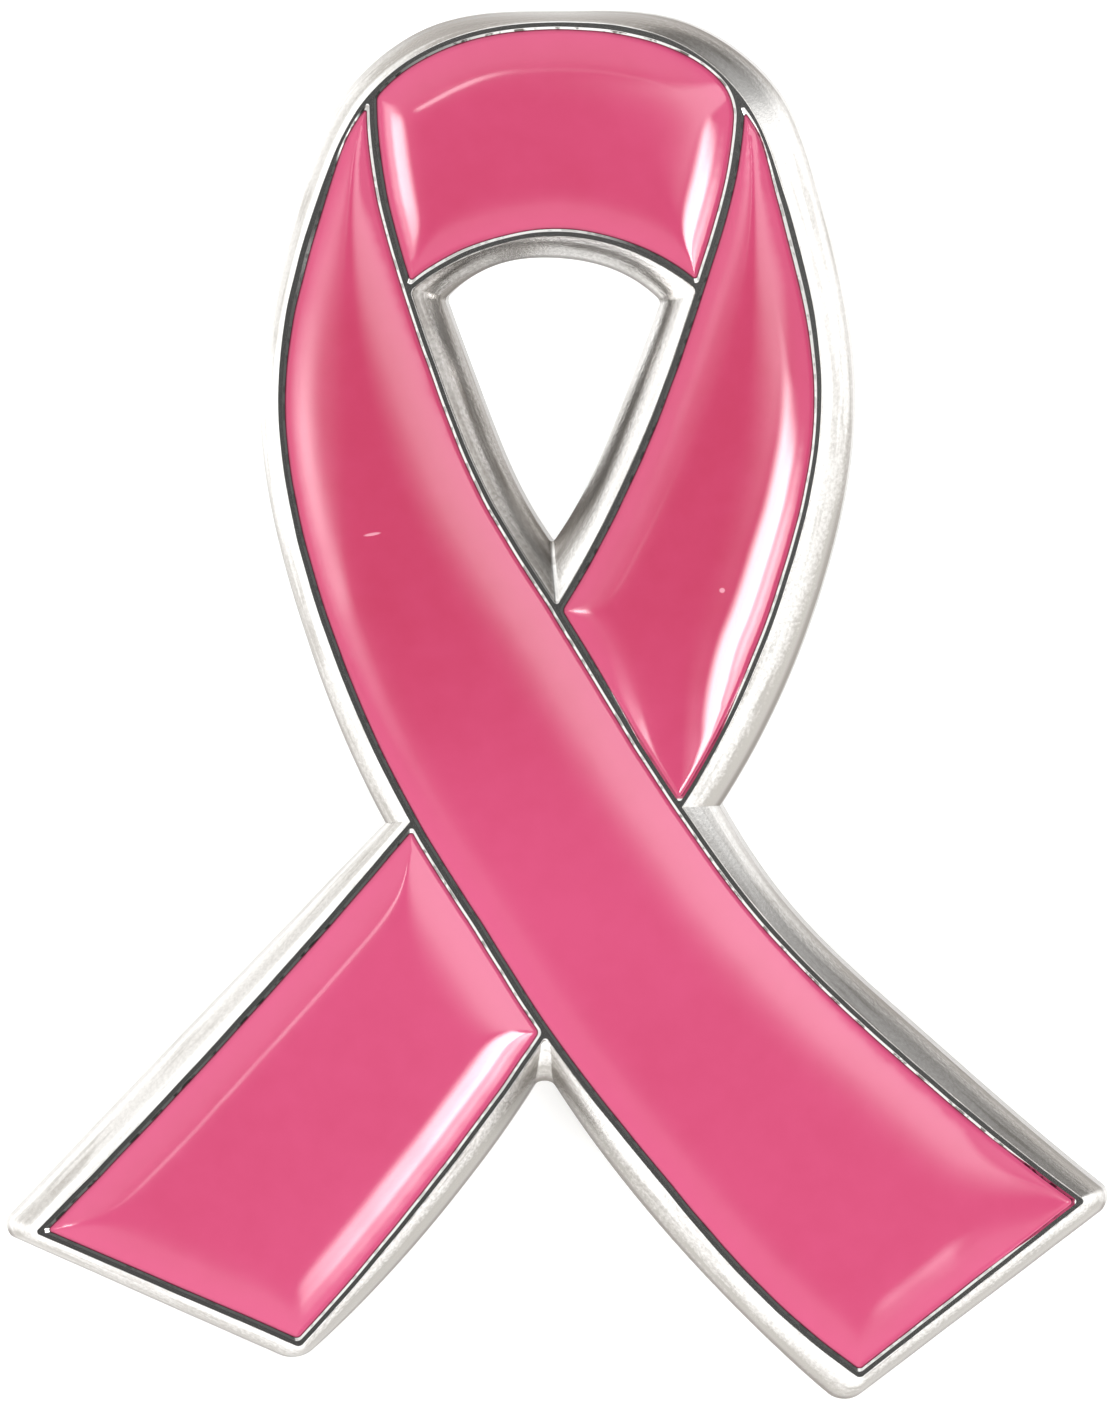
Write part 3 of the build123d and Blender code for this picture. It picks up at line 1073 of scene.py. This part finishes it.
def build_casting():
    """Plated casting: uneven sides, polished walls, open cells, flat back, post."""
    sizes = bpy.context.scene.pin_casting
    form = Form()
    rounds = FOOT_ROUND, sizes.shoulder_round
    line = loop_of(OUTLINE)
    outer = casting_side(foot_loop(), line, OUTLINE_CORNERS, rounds, FOOT_SPACING, 1)
    outer = form.stack(outer)

    rounds = sizes.cell_round, sizes.cell_round
    line = loop_of(HOLE)
    foot = [knots_through(rows) for rows in HOLE_FOOT_LINES]
    inner = casting_side(foot, line, HOLE_CORNERS, rounds, RING_SPACING, -1)
    inner = form.stack(inner)

    tops = [inner[-1]]
    half = sizes.wall_width / 2
    foot_half = half + sizes.bevel_width
    for cell in CELLS:
        ring, cell_counts = cell_ring(cell, foot_half)
        top, _ = cell_ring(cell, half, cell_counts)
        rings = [(ring, CELL_FLOOR), (ring, RIM - sizes.bevel_drop), (top, RIM)]
        rings = form.stack(rings)
        form.fill(rings[0])
        tops.append(rings[-1])
    form.fill(outer[-1], tops)

    turns = np.linspace(0, 2 * math.pi, POST_SIDES, endpoint=False)
    circle = np.stack([np.cos(turns), np.sin(turns)], axis=1)
    centre = np.array([POST_ACROSS, POST_UP])
    post = form.stack([(centre + circle * radius, z) for radius, z in post_profile()])
    form.fill(outer[0], [inner[0], post[0]])
    end = form.add(centre[None], -sizes.post_length)[0]
    for a, b in zip(post[-1], np.roll(post[-1], -1)):
        form.faces.append((int(a), int(b), int(end)))

    casting = form.piece("plated_casting", plating_material())
    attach(casting, "root")
    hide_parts("ribbon_casting")


def enamel_height(points, ring, fine_ring, cell):
    """Height of a fill over the face: rolled edge, sloped border, slight dome."""
    sizes = bpy.context.scene.pin_enamel
    near = reach_to(points, ring)
    near[near < 1e-9] = 0
    reach = near.copy()
    clear = near > SOFT_START
    soft = soft_reach_to(points[clear], fine_ring)
    share = np.clip((near[clear] - SOFT_START) / SOFT_BLEND, 0, 1)
    share = share * share * (3 - 2 * share)
    reach[clear] = near[clear] * (1 - share) + soft * share
    slope = np.full(len(points), sizes.slope_rise)
    for name, (left, far) in LEVEL_CORNERS.get(cell, {}).items():
        away = np.linalg.norm(points - spots([name]), axis=1)
        share = np.clip(away / far, 0, 1)
        slope *= left + (1 - left) * share * share * (3 - 2 * share)
    return (
        RIM - sizes.edge_drop
        + sizes.roll_rise * (1 - np.exp(-near / sizes.roll_width))
        + sizes.slope_rise - slope * np.exp(-reach / sizes.slope_width)
        + sizes.crown_rise * (1 - np.exp(-reach / sizes.crown_width))
    )


def build_enamel(cell, material):
    """Domed enamel fill of one cell."""
    sizes = bpy.context.scene.pin_enamel
    casting = bpy.context.scene.pin_casting
    edge = casting.wall_width / 2 + casting.bevel_width + sizes.gap
    form = Form()
    ring, counts = cell_ring(cell, edge)
    fine_ring, _ = cell_ring(cell, edge, spacing=FINE_SPACING)
    rings = [
        (ring, CELL_FLOOR + sizes.bed),
        (ring, RIM - sizes.edge_drop - FILL_SKIRT),
    ]
    for inset in EDGE_STEPS:
        plan, _ = cell_ring(cell, edge + inset, counts)
        rings.append((plan, enamel_height(plan, ring, fine_ring, cell)))
    rings = form.stack(rings)
    form.fill(rings[0])
    loose = grid_inside(plan)
    numbers = form.add(loose, enamel_height(loose, ring, fine_ring, cell))
    form.fill(rings[-1], loose=numbers)
    fill = form.piece(cell.replace("enamel", "fill"), material)
    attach(fill, "root")
    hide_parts(cell)


# Studio

def lobe(shader, place, turn, tilt, inner, outer):
    """One within the inner angle of a direction, falling to nought at the outer."""
    near = shader.dot(place, away_from(turn, tilt))
    return near.ramp(math.cos(math.radians(outer)), math.cos(math.radians(inner)))


def panel(shader, place, turn, tilt, deep, wide, soft, roll):
    """Soft-edged light in the tent, deep along its tilt and wide across it."""
    middle = shader.dot(place, away_from(turn, tilt))
    front = middle.math("GREATER_THAN", 0.5)
    outer, side = away_from(turn, tilt + 90), away_from(turn + 90, 90)
    roll = math.radians(roll)
    along = shader.dot(place, outer * math.cos(roll) + side * math.sin(roll)) / middle
    across = shader.dot(place, side * math.cos(roll) - outer * math.sin(roll)) / middle
    for reach, size in ((along, deep), (across, wide)):
        half = math.tan(math.radians(size / 2))
        reach = reach.math("ABSOLUTE")
        front = front * (1 - reach.ramp(half * (1 - soft), half * (1 + soft)))
    return front


def build_floor():
    """Flat pale floor that the pin rests on."""
    work = bmesh.new()
    bmesh.ops.create_grid(
        work, x_segments=FLOOR_CELLS, y_segments=FLOOR_CELLS, size=FLOOR_HALF
    )
    mesh = bpy.data.meshes.new("floor")
    work.to_mesh(mesh)
    work.free()
    mesh.materials.append(floor_material())
    floor = bpy.data.objects.new("floor", mesh)
    bpy.context.scene.collection.objects.link(floor)


def build_tent():
    """White tent round the pin, with its panels of light and its darker parts."""
    scene = bpy.context.scene
    studio = scene.pin_studio
    world = bpy.data.worlds.new("white_tent")
    scene.world = world
    world.use_nodes = True
    shader = Shader(world.node_tree)
    place = shader.node("ShaderNodeTexCoord", output="Generated")
    glow = lobe(shader, place, *TENT_TOP)
    glow = glow + (1 - glow) * studio.side_share
    glow = glow * (1 - lobe(shader, place, *TENT_BACK) * (1 - studio.back_share))
    ring = lobe(shader, place, *DIM_OUTER) * (1 - lobe(shader, place, *DIM_INNER))
    right = shader.dot(place, away_from(0, 90)).ramp(-0.02, 0.25)
    glow = glow * (1 - ring * right * (1 - studio.dim_share))
    glow = glow + lobe(shader, place, *LOW_LIGHT) * studio.low_strength
    dark = lobe(shader, place, *CAMERA_DARK)
    glow = glow * (1 - dark * studio.camera_share) * studio.tent_strength
    for strength, share, *shape in LIGHTS:
        light = panel(shader, place, *shape)
        glow = glow + light * (getattr(studio, strength) * share)
    glow = shader.node("ShaderNodeBackground", {
        "Color": (1.0, 0.995, 0.985, 1.0),
        "Strength": glow,
    })
    shader.node("ShaderNodeOutputWorld", {"Surface": glow})


def build_camera():
    """Camera nearly square to the face, a long way off, with the pin in its middle."""
    scene = bpy.context.scene
    face = face_frame()
    right, above = (math.tan(math.radians(turn)) for turn in (VIEW_RIGHT, VIEW_ABOVE))
    back = (face.to_3x3() @ Vector((right, above, 1))).normalized()
    lens = bpy.data.cameras.new("camera")
    lens.lens = scene.pin_studio.lens
    lens.sensor_width = SENSOR_WIDTH
    camera = bpy.data.objects.new("camera", lens)
    scene.collection.objects.link(camera)
    scene.camera = camera
    up = face.to_3x3() @ Vector((0, 1, 0))
    up = (up - back * up.dot(back)).normalized()
    right = up.cross(back)
    x, y = VIEW_TARGET
    target = face @ Vector((x * FACE_WIDTH, y * FACE_HEIGHT, RIM))
    distance = PICTURE_SHARE * FACE_HEIGHT / lens.sensor_width * lens.lens
    placed = Matrix((right, up, back)).transposed().to_4x4()
    placed.translation = target + back * distance
    camera.matrix_world = placed
    lens.clip_start = distance * 0.05
    lens.clip_end = distance * 20
    scene.view_settings.view_transform = "Standard"


# Add-on parts

class PIN_OT_casting(bpy.types.Operator):
    """Build the plated casting with its walls, sides, back and post"""

    bl_idname = "ribbon_pin.casting"
    bl_label = "Build casting"

    def execute(self, context):
        build_casting()
        return {"FINISHED"}


class PIN_OT_enamel(bpy.types.Operator):
    """Fill the four cells with domed enamel"""

    bl_idname = "ribbon_pin.enamel"
    bl_label = "Build enamel fills"

    def execute(self, context):
        material = enamel_material()
        for cell in CELLS:
            build_enamel(cell, material)
        return {"FINISHED"}


class PIN_OT_studio(bpy.types.Operator):
    """Set up the floor, the lights and the camera"""

    bl_idname = "ribbon_pin.studio"
    bl_label = "Build studio"

    def execute(self, context):
        build_floor()
        build_tent()
        build_camera()
        return {"FINISHED"}


class PIN_PT_sidebar(bpy.types.Panel):
    """Sizes, finishes and build steps of the pin"""

    bl_idname = "PIN_PT_sidebar"
    bl_label = "Ribbon Pin"
    bl_space_type = "VIEW_3D"
    bl_region_type = "UI"
    bl_category = "Ribbon Pin"

    def draw(self, context):
        for name, label in GROUPS.items():
            box = self.layout.box()
            box.label(text=label)
            group = getattr(context.scene, name)
            for key in group.__annotations__:
                box.prop(group, key)
        for operator in OPERATORS:
            self.layout.operator(operator.bl_idname)


GROUPS = {
    "pin_casting": "Casting",
    "pin_enamel": "Enamel",
    "pin_finish": "Finish",
    "pin_studio": "Studio",
}
GROUP_TYPES = (CastingSizes, EnamelSizes, FinishSettings, StudioSettings)
OPERATORS = (PIN_OT_casting, PIN_OT_enamel, PIN_OT_studio)
CLASSES = (*GROUP_TYPES, *OPERATORS, PIN_PT_sidebar)


def register():
    for cls in CLASSES:
        bpy.utils.register_class(cls)
    for name, group in zip(GROUPS, GROUP_TYPES):
        setattr(bpy.types.Scene, name, PointerProperty(type=group))


def unregister():
    for name in GROUPS:
        delattr(bpy.types.Scene, name)
    for cls in reversed(CLASSES):
        bpy.utils.unregister_class(cls)


def main():
    """Build everything in order."""
    register()
    bpy.ops.ribbon_pin.casting()
    bpy.ops.ribbon_pin.enamel()
    bpy.ops.ribbon_pin.studio()


if __name__ == "__main__":
    main()
